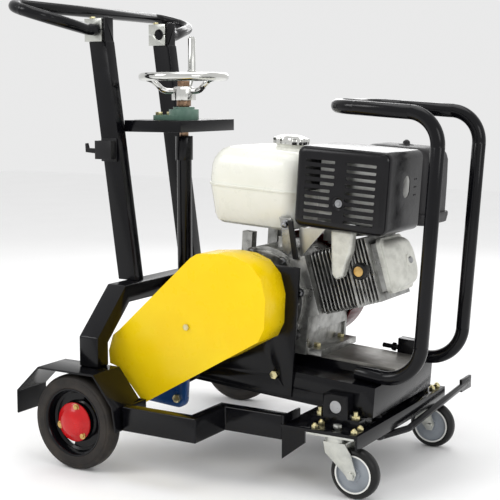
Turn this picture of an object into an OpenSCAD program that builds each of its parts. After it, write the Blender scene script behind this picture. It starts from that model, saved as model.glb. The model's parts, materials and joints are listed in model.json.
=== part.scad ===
// Walk-behind concrete saw: rolling chassis, tilting deck, petrol engine, belt drive.
// +X is the front (caster end), -Y the belt side, +Z up.

/* [Chassis] */
// Distance from rear axle to caster swivel
wheelbase = 538; // [500:1:580]
// Rear wheel diameter
wheel_d = 200; // [180:1:202]
// Rear tyre width
wheel_w = 42; // [34:1:46]
// Rear wheel centre to machine centre line
wheel_y = 322; // [318:1:325]
// Side rail height
rail_h = 50; // [40:1:54]
// Side rail thickness
rail_t = 25; // [18:1:26]
// Front plate half width
plate_y = 225; // [220:1:232]

/* [Casters] */
// Caster wheel diameter
caster_d = 100; // [90:1:102]
// Caster wheel width
caster_w = 30; // [24:1:32]
// Caster to machine centre line
caster_y = 197; // [190:1:200]
// Swivel trail
caster_trail = 40; // [32:1:42]

/* [Handle] */
// Height of the post tops
post_top = 886; // [870:1:900]
// Post lean to the rear in degrees
post_lean = 7.8; // [6:0.1:9]
// Half spacing of post outer faces
post_y = 134; // [130:1:138]
// Handle tube diameter
handle_d = 25; // [22:1:28]
// Half width of the handle corners
handle_y = 288; // [270:1:300]

/* [Lift] */
// Handwheel diameter
handwheel_d = 200; // [180:1:204]
// Lift screw diameter
screw_d = 20; // [18:1:20]
// Lift tube diameter
tube_d = 33; // [32:1:34]

/* [Deck] */
// Height of the deck pivot shaft
pivot_z = 167; // [166:1:168]
// Deck pivot shaft diameter
pivot_d = 25; // [20:1:25]
// Deck tilt in the raised position in degrees
raised = 3.7; // [3.5:0.1:4]
// Deck half width
deck_y = 147; // [145:1:148]
// Guard hoop tube diameter
hoop_d = 28; // [25:1:28]

/* [Drive] */
// Arbor end diameter
arbor_d = 25.4; // [20:0.1:25.4]
// Engine pulley outer diameter
drive_pulley_d = 60; // [56:1:70]
// Blade shaft pulley outer diameter
driven_pulley_d = 64; // [58:1:64]
// Crankshaft output diameter
crank_d = 25.4; // [25:0.1:25.4]

/* [Hidden] */
$fn = 64;

near = -1;
far = 1;
axle_x = -249.8;
axle_z = wheel_d / 2;
caster_x = axle_x + wheelbase;
pivot_x = axle_x + 522;
rail_z = 98;
rail_out_y = 330;
rail_in_y = 220;
jog_x = axle_x + 297;
plate_t = 6;
plate_z = 125;
plate_rear_x = axle_x + 428;
plate_front_x = axle_x + 594;
arch_out_y = 349;
arch_in_y = 259;
arch_t = 4;
hoop_w = 48;
hoop_t = 38;
hoop_x = axle_x - 13;
hoop_bar_top = 370;
post_w = 46;
post_t = 30;
screw_x = axle_x + 54;
bracket_top = 717;
arm_h = 25;
fit = 0.05;

// deck coordinates: origin on the pivot shaft, x along the deck, z normal to it
deck_top = 45;
deck_low = -15;
deck_t = 6;
deck_rear = -494;
deck_front = 69;
slide_z = 61;
slide_t = 6;
lift_pin_x = -468.5;
lift_pin_z = 18.7;
blade_x = -418;
blade_z = -8;
crank_x = -224;
crank_z = slide_z + slide_t + 106;
cyl_tilt = 20;
belt_y = -190;
guard_front_y = -235;
guard_t = 2;
hoop_y = 112;
hoop_leg_x = 143;
hoop_top_z = 579;
hoop_rear_x = -92;

function unit(v) = v / norm(v);
function turn_of(ex, ey, ez) = abs(ex.z) > 0.9999
  ? [atan2(-ex.z * ey.x, ey.y), -90 * sign(ex.z), 0]
  : [atan2(ey.z, ez.z), asin(-ex.z), atan2(ex.y, ex.x)];
function bend_len(p, r, i) =
  let (a = unit(p[i] - p[i - 1]), b = unit(p[i + 1] - p[i]), phi = acos(a * b))
  r[i] * tan(phi / 2);
function cut_of(p, r, i) = (i == 0 || i == len(p) - 1) ? 0 : bend_len(p, r, i);

module rod(a, b, r) {
  d = b - a;
  translate(a) rotate([0, acos(d.z / norm(d)), atan2(d.y, d.x)]) cylinder(r = r, h = norm(d));
}

// round tube through the points p with bend radii r
module bent_tube(p, r, tube_r) {
  last = len(p) - 2;
  for (i = [0 : last]) {
    d = unit(p[i + 1] - p[i]);
    lap_a = i == 0 ? 0 : 0.5;
    lap_b = i == last ? 0 : 0.5;
    rod(p[i] + d * (cut_of(p, r, i) - lap_a), p[i + 1] - d * (cut_of(p, r, i + 1) - lap_b),
        tube_r, $fn = 40);
  }
  for (i = [1 : last]) {
    a = unit(p[i] - p[i - 1]);
    b = unit(p[i + 1] - p[i]);
    n = unit(b - a * (a * b));
    start = p[i] - a * bend_len(p, r, i);
    translate(start + n * r[i]) rotate(turn_of(-n, a, cross(-n, a)))
      rotate_extrude(angle = acos(a * b), $fn = 40) translate([r[i], 0])
        circle(tube_r - 0.06, $fn = 40);
  }
}

module bar(x1, x2, y1, y2, z1, z2)
  translate([x1, y1, z1]) cube([x2 - x1, y2 - y1, z2 - z1]);

// flat outline in X-Z, thick from y1 to y2
module slab(y1, y2) translate([0, y2, 0]) rotate([90, 0, 0]) linear_extrude(y2 - y1) children();

// round piece on an axis along Y from y1 to y2
module pin_y(x, z, r, y1, y2)
  translate([x, y2, z]) rotate([90, 0, 0]) cylinder(r = r, h = y2 - y1);

module hex_head(r, h) cylinder(r = r, h = h, $fn = 6);

// the near side and its mirror image
module both_sides() {
  children();
  mirror([0, 1, 0]) children();
}

module on_deck() translate([pivot_x, 0, pivot_z]) rotate([0, raised, 0]) children();

module on_cylinder() translate([crank_x, 0, crank_z]) rotate([0, -cyl_tilt, 0]) children();

// chassis

function arch_outline(g) = [
  [-142 + g, 103], [-142 + g, 153 - g * 0.4], [-83 + g * 0.4, 210 - g],
  [62 - g * 0.4, 210 - g], [111 - g, 149 - g * 0.4], [119 - g, 97]
];

module arch_band() {
  slab(-arch_out_y, -arch_in_y) translate([axle_x, 0]) difference() {
    polygon(arch_outline(0));
    translate([0, -0.01]) polygon(arch_outline(arch_t));
    translate([-170, 90]) square([320, 7.5]);
    translate([-170, 90]) square([150, 13.5]);
  }
}

module wheel_arches() color("#17171a") both_sides() arch_band();

module axle_brackets() color("#1b1b1e") both_sides() {
  slab(-arch_in_y - 8, -arch_in_y) translate([axle_x, 0]) polygon([
    [-36, 206], [-36, 150], [-26, 82], [-14, 72], [14, 72], [26, 82], [46, 150], [46, 206]
  ]);
  pin_y(axle_x, axle_z, 10, -wheel_y - wheel_w / 2 - 2, -arch_in_y - 7);
  pin_y(axle_x, axle_z, 16, -wheel_y + wheel_w / 2 - 3.5, -arch_in_y - 7);
}

module rear_hoop() color("#17171a") {
  leg_out = 298;
  leg_in = leg_out - hoop_t;
  knee_z = 273;
  top_y = 198;
  h = hoop_w;
  translate([hoop_x, 0, 0]) rotate([90, 0, 90]) linear_extrude(h) difference() {
    polygon([
      [-leg_out, 210], [-leg_out, knee_z], [-top_y, hoop_bar_top], [top_y, hoop_bar_top],
      [leg_out, knee_z], [leg_out, 210]
    ]);
    polygon([
      [-leg_in, 200], [-leg_in, knee_z - 15], [-top_y + 14, hoop_bar_top - hoop_t],
      [top_y - 14, hoop_bar_top - hoop_t], [leg_in, knee_z - 15], [leg_in, 200]
    ]);
  }
}

post_foot_x = axle_x - 9;
function post_x(z) = post_foot_x - (z - hoop_bar_top) * tan(post_lean);

module post_bar() {
  long = (post_top - hoop_bar_top) / cos(post_lean) + 8;
  cut = 12;
  difference() {
    translate([post_foot_x, 0, hoop_bar_top]) rotate([0, -post_lean, 0])
      bar(-post_w / 2, post_w / 2, -post_y, -post_y + post_t, -cut, long);
    bar(post_foot_x - 90, post_foot_x + 90, -150, -80, hoop_bar_top - 60, hoop_bar_top);
    bar(post_foot_x - 190, post_foot_x + 90, -150, -80, post_top, post_top + 60);
  }
}

handle_z = 911;
handle_x = post_x(911);
clamp_y1 = 101;
clamp_y2 = 137;

module handle_posts() color("#1b1b20") both_sides() {
  post_bar();
  // strap in front of the clamp
  bar(handle_x + 19, handle_x + 24, -post_y, -post_y + post_t, post_top - 6, 938);
}

module handle_clamps() color("#8d9094") both_sides() difference() {
  bar(handle_x - 29, handle_x + 17, -clamp_y2, -clamp_y1, post_top, 935);
  pin_y(handle_x, handle_z, handle_d / 2 + fit, -clamp_y2 - 1, -clamp_y1 + 1);
  bar(handle_x - 40, handle_x + 30, -clamp_y2 - 1, -clamp_y1 + 1, handle_z - 0.8, handle_z + 0.8);
  translate([handle_x - 21, -119, post_top - 1]) cylinder(r = 3.8, h = 60);
}

module handlebar() color("#141416") {
  s = -clamp_y1 - 1;
  bend_y = 165;
  p = [
    [handle_x, s, handle_z], [handle_x, -bend_y, handle_z],
    [handle_x - 36, -handle_y, handle_z + 26], [axle_x - 200, -handle_y, 960],
    [axle_x - 200, handle_y, 960], [handle_x - 36, handle_y, handle_z + 26],
    [handle_x, bend_y, handle_z], [handle_x, -s, handle_z]
  ];
  bent_tube(p, [0, 25, 45, 45, 45, 45, 25, 0], handle_d / 2);
}

module screw_bracket() color("#17171a") {
  x_front = axle_x + 118;
  low = bracket_top - arm_h;
  x_post = post_x(low) + post_w / 2 / cos(post_lean);
  difference() {
    union() {
      for (y = [-108, 83]) bar(x_post, x_front, y, y + 25, low, bracket_top);
      bar(x_front - 25, x_front, -108, 108, low, bracket_top);
      bar(screw_x - 92, x_front - 20, -62, 62, bracket_top - 6, bracket_top);
      for (y = [-90, 60]) bar(screw_x - 60, screw_x - 20, y, y + 30, bracket_top - 6, bracket_top);
    }
    translate([screw_x, 0, low]) cylinder(r = 21, h = 40);
    for (y = [-22, 22]) translate([screw_x - 52, y, low]) cylinder(r = 5.2, h = 40);
  }
}

bearing_h = 23;
module lift_bearing() color("#7f9489") translate([screw_x, 0, bracket_top]) difference() {
  union() {
    cylinder(r = 33, h = bearing_h);
    hull() {
      cylinder(r = 32.6, h = 10, $fn = 32);
      translate([-52, -22, 0]) cylinder(r = 13, h = 10, $fn = 32);
      translate([-52, 22, 0]) cylinder(r = 13, h = 10, $fn = 32);
    }
    cylinder(r = 24, h = bearing_h + 5);
  }
  translate([0, 0, -1]) cylinder(r = 12.5 + fit, h = 60);
  for (y = [-22, 22]) translate([-52, y, -1]) cylinder(r = 5.2, h = 20);
}

module side_rails() color("#1d1d21") both_sides() {
  x_rear = axle_x + 120;
  bar(x_rear, jog_x, -rail_out_y, -rail_out_y + rail_t, rail_z, rail_z + rail_h);
  bar(jog_x - rail_t, jog_x, -rail_out_y, -rail_in_y + rail_t, rail_z, rail_z + rail_h);
  bar(jog_x - rail_t, plate_rear_x, -rail_in_y, -rail_in_y + rail_t, rail_z, rail_z + rail_h);
  // strap back to the axle bracket
  bar(axle_x + 36, x_rear + 6, -arch_in_y, -arch_in_y + 6, rail_z, rail_z + rail_h);
  bar(x_rear, x_rear + 6, -rail_out_y + rail_t, -arch_in_y + 6, rail_z, rail_z + rail_h);
}

module front_plate() color("#1d1d21") difference() {
  union() {
    bar(plate_rear_x, plate_front_x, -plate_y, plate_y, plate_z, plate_z + plate_t);
    for (s = [near, far]) {
      y1 = s < 0 ? -rail_in_y : rail_in_y - 6;
      slab(y1, y1 + 6) polygon([
        [plate_rear_x, 60], [plate_rear_x + 50, 99], [plate_rear_x + 50, plate_z],
        [plate_rear_x, plate_z]
      ]);
    }
    bar(plate_front_x - 5, plate_front_x, -plate_y, plate_y, plate_z - 22, plate_z + plate_t);
    for (y = [-rail_in_y, 152])
      bar(plate_rear_x, plate_rear_x + 5, y, y + 68, plate_z + plate_t, rail_z + rail_h);
  }
  for (s = [near, far]) translate([caster_x, s * caster_y, plate_z - 1]) {
    cylinder(r = 12, h = 20);
    for (x = [-42, 42], y = [-14, 14]) translate([x, y, 0]) cylinder(r = 4.3, h = 20);
  }
  translate([plate_front_x - 24, -86, plate_z - 1]) cylinder(r = 7.3, h = 20);
}

block_y = 162;
block_t = 26;
block_z = plate_z + plate_t;
module pivot_blocks() color("#161618") both_sides() difference() {
  union() {
    bar(pivot_x - 52, pivot_x + 52, -block_y - block_t / 2, -block_y + block_t / 2,
        block_z, block_z + 14);
    bar(pivot_x - 27, pivot_x + 27, -block_y - block_t / 2, -block_y + block_t / 2,
        block_z, pivot_z + 24);
  }
  pin_y(pivot_x, pivot_z, pivot_d / 2 + fit, -block_y - 20, -block_y + 20);
  bar(pivot_x - 40, pivot_x + 40, -block_y - 20, -block_y + 20, block_z - 20, block_z);
  for (x = [-38, 38])
    translate([pivot_x + x, -block_y, block_z - 1]) cylinder(r = 5.3, h = 30);
}

module bolt(r, head_r, head_h, long) {
  translate([0, 0, -long]) cylinder(r = r, h = long);
  hex_head(head_r, head_h);
}

module chassis_bolts() color("#c9b878") {
  for (s = [near, far], x = [-38, 38])
    translate([pivot_x + x, s * block_y, block_z + 14]) {
      bolt(5, 9, 7, 13.5);
      translate([0, 0, 7]) cylinder(r = 5, h = 8);
    }
  for (y = [-22, 22]) translate([screw_x - 52, y, bracket_top + 10]) bolt(5, 8.5, 7, 9.5);
  for (s = [near, far], x = [-42, 42], y = [-14, 14])
    translate([caster_x + x, s * caster_y + y, block_z]) {
      bolt(4, 7, 6, 10.5);
      translate([0, 0, 6]) cylinder(r1 = 6, r2 = 2.5, h = 4);
    }
  for (s = [near, far]) translate([handle_x - 21, s * 119, 935]) bolt(3.5, 6.5, 5, 40);
}

caster_top = plate_z - 4;
module caster_plates() color("#b9bcae") for (s = [near, far])
  translate([caster_x, s * caster_y, caster_top]) difference() {
    union() {
      translate([-52, -29, 0]) cube([101, 58, 4]);
      cylinder(r = 6, h = 14);
      translate([0, 0, 13]) cylinder(r = 9, h = 6, $fn = 6);
      translate([0, 0, -12]) cylinder(r = 6, h = 12);
      translate([0, 0, -14]) cylinder(r = 10, h = 3);
    }
    for (x = [-42, 42], y = [-14, 14]) translate([x, y, -1]) cylinder(r = 4.3, h = 10);
  }

throttle_x = axle_x - 70;
throttle_z = 650;
module throttle_box() color("#2a2a2e") {
  difference() {
    union() {
      bar(throttle_x - 8, throttle_x + 36, -152, -post_y, 633, 673);
      bar(throttle_x - 1, throttle_x + 40, -138, -post_y, 628, 678);
    }
    bar(throttle_x - 9, throttle_x + 12, -147, -139, 640, 680);
  }
  pin_y(throttle_x, throttle_z, 3, -148, -138.5);
}

module throttle_trigger() color("#131315") difference() {
  union() {
    pin_y(throttle_x, throttle_z, 7, -146.5, -139.5);
    slab(-146.5, -139.5) translate([throttle_x, throttle_z]) polygon([
      [0, -6], [-38, -3], [-39, 16], [-34, 17], [-31, 6], [0, 6]
    ]);
  }
  pin_y(throttle_x, throttle_z, 3 + fit, -160, -130);
}

rod_x = plate_front_x - 24;
module guide_rod() color("#19191b") {
  z_low = plate_z - 40;
  zr = 116;
  bent_tube([
    [rod_x, -86, plate_z + 12], [rod_x, -86, z_low + 4], [rod_x + 4, -66, z_low + 4],
    [plate_front_x + 14, -10, zr - 20], [plate_front_x + 14, 328, zr + 5]
  ], [0, 13, 13, 30, 0], 7);
  translate([rod_x, -86, plate_z + plate_t + 0.4]) cylinder(r = 10, h = 5);
  bar(plate_front_x + 11, plate_front_x + 17, 286, 345, zr - 10, zr + 18);
}

// lift

rim_z = 811;
module handwheel() color("#c4c7c6") translate([screw_x, 0, 0]) {
  rim_r = handwheel_d / 2 - 9;
  difference() {
    union() {
      translate([0, 0, rim_z]) rotate_extrude() translate([rim_r, 0]) circle(9);
      translate([0, 0, 760]) cylinder(r = 27, h = 24);
      translate([0, 0, 784]) cylinder(r1 = 27, r2 = 20, h = 6);
      for (a = [112, 232, 352]) rotate([0, 0, a])
        bent_tube([[20, 0, 780], [46, 0, 780], [72, 0, 803], [rim_r, 0, rim_z - 2]],
                  [0, 25, 20, 0], 6.5);
      rotate([0, 0, 112]) translate([rim_r, 0, rim_z]) cylinder(r = 10, h = 12);
      rotate([0, 0, 112]) translate([rim_r, 0, rim_z]) cylinder(r = 4, h = 92);
      rotate([0, 0, 112]) translate([rim_r, 0, rim_z + 89]) cylinder(r = 6, h = 3);
    }
    translate([0, 0, 700]) cylinder(r = 10 - 0.02, h = 120);
  }
}

module spinner_grip() color("#d2d4d3") translate([screw_x, 0, 0]) rotate([0, 0, 112])
  translate([handwheel_d / 2 - 9, 0, rim_z + 12.3]) difference() {
    union() {
      cylinder(r = 8.5, h = 76.4);
      cylinder(r = 10, h = 4);
    }
    translate([0, 0, -1]) cylinder(r = 4 + fit, h = 90);
  }

module lift_screw() color("#9b7d5b") translate([screw_x, 0, 0]) {
  translate([0, 0, 470]) cylinder(r = screw_d / 2, h = 238);
  translate([0, 0, 694]) cylinder(r = 12.5, h = 66);
  translate([0, 0, 700]) cylinder(r = 16, h = 12);
  translate([0, 0, 747]) cylinder(r = 16, h = 13);
  translate([0, 0, 759]) cylinder(r = screw_d / 2 - 0.04, h = 41);
  translate([0, 0, 790.2]) hex_head(15, 12);
}

tube_top = 681;
module lift_tube() color("#161618") translate([screw_x, 0, 0]) difference() {
  union() {
    translate([0, 0, 236]) cylinder(r = tube_d / 2, h = tube_top - 236);
    translate([0, 0, tube_top - 53]) cylinder(r = tube_d / 2 + 3, h = 53);
    bar(-15, 15, -15, 15, 198, 244);
  }
  translate([0, 0, 262]) cylinder(r = 12.5, h = 380);
  translate([0, 0, 600]) cylinder(r = screw_d / 2 + fit, h = 100);
  pin_slot();
}

module pin_slot() translate([0, 0, 216]) for (x = [-5, 5]) {
  pin_y(x, 0, 7.5, -20, 20);
  if (x < 0) bar(-5, 5, -20, 20, -7.5, 7.5);
}

// deck

module deck_frame() color("#151517") on_deck() difference() {
  union() {
    difference() {
      bar(deck_rear, deck_front, -deck_y, deck_y, deck_low, deck_top);
      bar(deck_rear + deck_t, deck_front - deck_t, -deck_y + deck_t, deck_y - deck_t,
          deck_low - 1, deck_top - deck_t);
    }
    // cheeks that carry the blade shaft bearings
    for (y = [-deck_y, deck_y - deck_t])
      bar(blade_x - 55, blade_x + 55, y, y + deck_t, -68, deck_low);
    // bosses for the pivot shaft
    for (y = [-deck_y + deck_t, deck_y - deck_t - 20])
      pin_y(0, 0, 15, y, y + 20);
    // channels under the slide plate
    for (y = [-62, 48]) bar(-330, 30, y, y + 22, deck_top, slide_z);
    // ears for the lift pin
    for (y = [-30, 20]) bar(lift_pin_x - 16, lift_pin_x + 16, y, y + 10, 0, deck_top - deck_t);
  }
  pin_y(0, 0, pivot_d / 2 - 0.02, -200, 200);
  pin_y(lift_pin_x, lift_pin_z, 6 - 0.02, -40, 40);
  bar(lift_pin_x - 26, lift_pin_x + 40, -19.5, 19.5, deck_low - 1, deck_top + 1);
  pin_y(blade_x, blade_z, 24, -deck_y - 1, deck_y + 1);
  for (x = [-306, -110], y = [-51, 59]) translate([x, y, 0]) cylinder(r = 5.5, h = 80);
}

module pivot_shaft() color("#8f9296") on_deck() {
  pin_y(0, 0, pivot_d / 2, -block_y - block_t / 2 + 1, block_y + block_t / 2 - 1);
}

module lift_pin() color("#c9b878") on_deck() {
  pin_y(lift_pin_x, lift_pin_z, 6, -32, 32);
  for (y = [-36, 31]) pin_y(lift_pin_x, lift_pin_z, 9, y, y + 5);
}

module slide_plate() color("#a9a8a2") on_deck() difference() {
  bar(-340, 72, -62, 70, slide_z, slide_z + slide_t);
  for (x = [-306, -110], y = [-51, 59]) hull() for (e = [-14, 14])
    translate([x + e, y, slide_z - 1]) cylinder(r = 5.5, h = 20, $fn = 32);
}

module tension_block() color("#141416") on_deck() {
  difference() {
    bar(18, 66, 72, 96, deck_top, 97);
    bar(24, 67, 77, 91, deck_top - 1, 91);
    translate([10, 84, 74]) rotate([0, 90, 0]) cylinder(r = 5, h = 20);
  }
  translate([-20, 84, 74]) rotate([0, 90, 0]) cylinder(r = 4.98, h = 44);
  translate([2, 84, 74]) rotate([0, 90, 0]) hex_head(9, 7);
}

guard_outline = [
  [-413, -62], [-484, 4], [-505, 8], [-509, 35], [-500, 70], [-484, 84], [-315, 260],
  [-300, 270], [-248, 277], [-208, 276], [-176, 266], [-150, 241], [-137, 202],
  [-136, 143], [-148, 115]
];

module guard_back_plate() color("#141416") on_deck() difference() {
  slab(-153, -deck_y) polygon([
    [-410, -58], [-500, 10], [-504, 60], [-318, 252], [-110, 258], [-110, deck_low + 8],
    [-330, deck_low + 8]
  ]);
  bar(-480, -355, -154, -146, -82, 57);
  pin_y(crank_x, crank_z, 45, -154, -146);
  pin_y(-150, 33, 5.1, -154, -146);
  pin_y(-320, 22, 5.1, -154, -146);
}

module belt_guard() color("#f2d51c") on_deck() difference() {
  slab(guard_front_y, -153.2) polygon(guard_outline);
  slab(guard_front_y + guard_t, -150) offset(delta = -guard_t) polygon(guard_outline);
  bar(-470, -405, guard_front_y + guard_t, -150, -70, -20);
  // clear of the bearing
  bar(-482, -354, -172, -150, -84, 58);
  slab(guard_front_y + guard_t, -150) polygon([
    [-414, -80], [-414, -56], [-150, 114], [-140, 100]
  ]);
}

module drive_belts() color("#1a1a1a") on_deck() {
  r1 = drive_pulley_d / 2 - 2;
  r2 = driven_pulley_d / 2 - 2;
  for (i = [-1, 0, 1]) slab(belt_y + i * 15 - 5, belt_y + i * 15 + 5) difference() {
    hull() {
      translate([crank_x, crank_z]) circle(r1 + 3);
      translate([blade_x, blade_z]) circle(r2 + 3);
    }
    hull() {
      translate([crank_x, crank_z]) circle(r1 - 4);
      translate([blade_x, blade_z]) circle(r2 - 4);
    }
  }
}

// three-groove pulley on an axis along Y
module pulley(d) {
  difference() {
    pin_y(0, 0, d / 2, belt_y - 23.5, belt_y + 23.5);
    for (i = [-1, 0, 1]) difference() {
      pin_y(0, 0, d / 2 + 1, belt_y + i * 15 - 5.4, belt_y + i * 15 + 5.4);
      pin_y(0, 0, d / 2 - 6.4, belt_y + i * 15 - 6, belt_y + i * 15 + 6);
    }
    pin_y(0, 0, 12.7 + 0.02, belt_y - 40, belt_y + 40);
  }
}

module engine_pulley() color("#5e6164") on_deck() translate([crank_x, 0, crank_z])
  pulley(drive_pulley_d);

module driven_pulley() color("#5e6164") on_deck() translate([blade_x, 0, blade_z])
  pulley(driven_pulley_d);

module crankshaft() color("#a5a8aa") on_deck() translate([crank_x, 0, crank_z]) {
  pin_y(0, 0, crank_d / 2, -216, -112);
  pin_y(0, 0, 17.5, -112, 110);
  pin_y(0, 0, 9, -221, -216);
}

module blade_shaft() color("#a5a8aa") on_deck() translate([blade_x, 0, blade_z]) {
  pin_y(0, 0, 12.7, -216, -166);
  pin_y(0, 0, 15, -166, 186);
  pin_y(0, 0, arbor_d / 2, 186, 246);
  pin_y(0, 0, 50, 188, 196);
  pin_y(0, 0, 28, 183, 188);
  pin_y(0, 0, 9, -220, -216);
}

module blade_bearings() color("#1d4b78") on_deck() for (s = [near, far])
  translate([blade_x, 0, blade_z]) {
    y1 = s < 0 ? -deck_y - 14 : deck_y;
    y2 = y1 + 14;
    difference() {
      union() {
        slab(y1, y2) hull() for (x = [-40, 40], z = [-53, 42]) translate([x, z])
          circle(20, $fn = 32);
        pin_y(0, 0, 36, s < 0 ? y1 - 4 : y1, s < 0 ? y2 : y2 + 12);
      }
      pin_y(0, 0, 15 + fit, -200, 200);
      for (x = [-40, 40], z = [-53, 42]) pin_y(x, z, 6.5, -200, 200);
    }
  }

module guard_hoop() color("#121214") on_deck() {
  foot_z = deck_top + hoop_d / 2;
  bent_tube([
    [12, -hoop_y, foot_z], [hoop_leg_x, -hoop_y, foot_z],
    [hoop_leg_x, -hoop_y, hoop_top_z], [hoop_rear_x, -hoop_y, hoop_top_z],
    [hoop_rear_x, hoop_y, hoop_top_z], [hoop_leg_x, hoop_y, hoop_top_z],
    [hoop_leg_x, hoop_y, foot_z], [12, hoop_y, foot_z]
  ], [0, 75, 62, 60, 60, 62, 75, 0], hoop_d / 2);
}

module deck_bolts() color("#c9b878") on_deck() {
  // guard back plate to deck side
  translate([-150, -153, 33]) rotate([90, 0, 0]) bolt(5, 9, 7, 4);
  translate([-320, -153, 22]) rotate([90, 0, 0]) bolt(5, 9, 7, 4);
  // guard centre bolt
  translate([-315, guard_front_y, 118]) rotate([90, 0, 0]) hex_head(7, 5);
  // bearing bolts
  for (s = [near, far], x = [-40, 40], z = [-53, 42])
    translate([blade_x + x, s * (deck_y + 14), blade_z + z]) rotate([s < 0 ? 90 : -90, 0, 0])
      bolt(6, 9.5, 7, 13);
  // engine bolts
  for (x = [-306, -110], y = [-51, 59]) translate([x, y, slide_z + slide_t + 13])
    bolt(4.5, 8, 7, 30);
}

// engine

module crankcase() color("#a7a9a8") on_deck() difference() {
  union() {
    slab(-88, 96) union() {
      translate([crank_x, crank_z]) circle(106);
      translate([-326, slide_z + slide_t]) square([210, 100]);
      translate([crank_x, crank_z]) rotate(cyl_tilt) translate([0, -62]) square([118, 124]);
    }
    bar(-330, -86, -78, 86, slide_z + slide_t, slide_z + slide_t + 13);
    for (x = [-300, -212], y = [-60, 50]) bar(x, x + 24, y, y + 20, 225, 300);
  }
  pin_y(crank_x, crank_z, 18, -90, 98);
  pin_y(crank_x, crank_z, 92, -40, 60);
  for (x = [-306, -110], y = [-51, 59])
    translate([x, y, slide_z]) cylinder(r = 5, h = 30);
  for (x = [-306, -110]) bar(x - 11, x + 11, -79, 87, slide_z + slide_t + 13, 110);
  bar(-340, -316, -89, 97, 80, 240);
}

module crankcase_cover() color("#b3b5b3") on_deck() translate([crank_x, 0, crank_z])
  difference() {
    union() {
      slab(-100, -88) union() {
        circle(98);
        for (a = [15 : 45 : 330]) rotate(a) translate([97, 0]) circle(9);
      }
      pin_y(0, 0, 62, -108, -99);
      pin_y(0, 0, 34, -118, -107);
      for (a = [15 : 45 : 330]) rotate([0, -a, 0]) translate([97, 0, 0]) {
        pin_y(0, 0, 6, -105, -99);
      }
    }
    pin_y(0, 0, 18, -120, -80);
  }

module oil_cap() color("#17171a") on_deck() translate([crank_x + 92, 0, crank_z - 62]) {
  pin_y(0, 0, 11, -124, -106.4);
  bar(-3, 3, -134, -124, -14, 14);
}

module cylinder_barrel() color("#9fa2a2") on_deck() on_cylinder() {
  translate([118, 4, 0]) rotate([0, 90, 0]) cylinder(r = 52, h = 80);
  for (i = [0 : 6]) translate([124 + i * 10.5, 4, 0]) bar(0, 3, -72, 72, -66, 66);
}

module cylinder_head() color("#a9acab") on_deck() on_cylinder() {
  bar(198, 204, -70, 78, -66, 70);
  for (i = [0 : 5]) bar(208 + i * 8, 211 + i * 8, -70, 78, -64, 68);
  bar(198, 262, -50, 58, -46, 52);
  translate([237.5, -50, 6]) rotate([90, 0, 0]) cylinder(r = 9, h = 34);
  translate([237.5, -84, 6]) rotate([90, 0, 0]) cylinder(r = 13, h = 22);
}

module valve_cover() color("#c3c6c6") on_deck() on_cylinder() {
  bar(262.2, 272, -52, 62, -54, 60);
  translate([272, 5, 3]) hull() {
    bar(0, 1, -52, 52, -52, 52);
    bar(0, 26, -42, 42, -42, 42);
  }
  translate([298, 5, 3]) rotate([0, 90, 0]) hex_head(7, 6);
}

module blower_housing() color("#9c1f22") on_deck() difference() {
  slab(98, 168) union() {
    translate([crank_x, crank_z]) circle(122);
    polygon([
      [crank_x, 72], [crank_x + 60, 72], [crank_x + 140, 158], [crank_x + 140, 200],
      [crank_x, 200]
    ]);
    translate([crank_x, crank_z]) rotate(cyl_tilt) translate([60, -60]) square([150, 130]);
  }
  slab(90, 165) union() {
    translate([crank_x, crank_z]) circle(119);
    polygon([
      [crank_x, 75], [crank_x + 58.7, 75], [crank_x + 137, 159.2], [crank_x + 137, 200],
      [crank_x, 200]
    ]);
    translate([crank_x, crank_z]) rotate(cyl_tilt) translate([60, -57]) square([147, 124]);
  }
  pin_y(crank_x, crank_z, 74, 160, 170);
}

module recoil_cover() color("#a82023") on_deck() translate([crank_x, 0, crank_z]) difference() {
  union() {
    pin_y(0, 0, 92, 168.2, 196);
    translate([0, 196, 0]) rotate([-90, 0, 0]) cylinder(r1 = 92, r2 = 58, h = 12);
  }
  pin_y(0, 0, 84, 160, 194);
  for (a = [0 : 30 : 330]) rotate([0, a, 0]) bar(64, 78, 150, 230, -5, 5);
  bar(-92, -48, 178, 190, 50, 90);
}

module recoil_grip() color("#151517") on_deck() translate([crank_x - 74, 184, crank_z + 74])
  rotate([0, -45, 0]) {
    translate([0, -12, 13]) cube([12, 36, 10]);
    translate([6, 0, -22]) cylinder(r = 2, h = 35);
  }

tank_x1 = -383;
tank_x2 = -163;
tank_y1 = -88;
tank_y2 = 150;
tank_low = 312;
tank_seam = 396;
tank_top = 478;
cap_x = -241;
cap_y = 24;

module tank_hull(g) hull() for (x = [tank_x1 + 30, tank_x2 - 30], y = [tank_y1 + 30, tank_y2 - 30])
  translate([x, y, 0]) {
    translate([0, 0, tank_top - 30]) sphere(30 - g, $fn = 24);
    translate([0, 0, tank_low + 24 + g]) cylinder(r = 28 - g, h = 10, $fn = 24);
    translate([0, 0, tank_low + g]) cylinder(r = 16 - g / 2, h = 2, $fn = 24);
  }

module fuel_tank() color("#e9e9e4") on_deck() difference() {
  union() {
    tank_hull(0);
    bar(tank_x1 - 3, tank_x2 + 3, tank_y1 - 3, tank_y2 + 3, tank_seam - 3, tank_seam + 3);
    translate([cap_x, cap_y, tank_top - 8]) cylinder(r = 31, h = 16);
    for (x = [-300, -212], y = [-60, 50]) bar(x, x + 24, y, y + 20, 300, 318);
  }
  tank_hull(3);
  translate([cap_x, cap_y, tank_top - 30]) cylinder(r = 26, h = 60);
}

module fuel_cap() color("#c9ccca") on_deck() translate([cap_x, cap_y, tank_top + 8.4]) {
  cylinder(r = 40, h = 14);
  translate([0, 0, 14]) cylinder(r1 = 40, r2 = 30, h = 6);
  translate([0, 0, -14]) cylinder(r = 25.6, h = 15);
}

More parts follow.
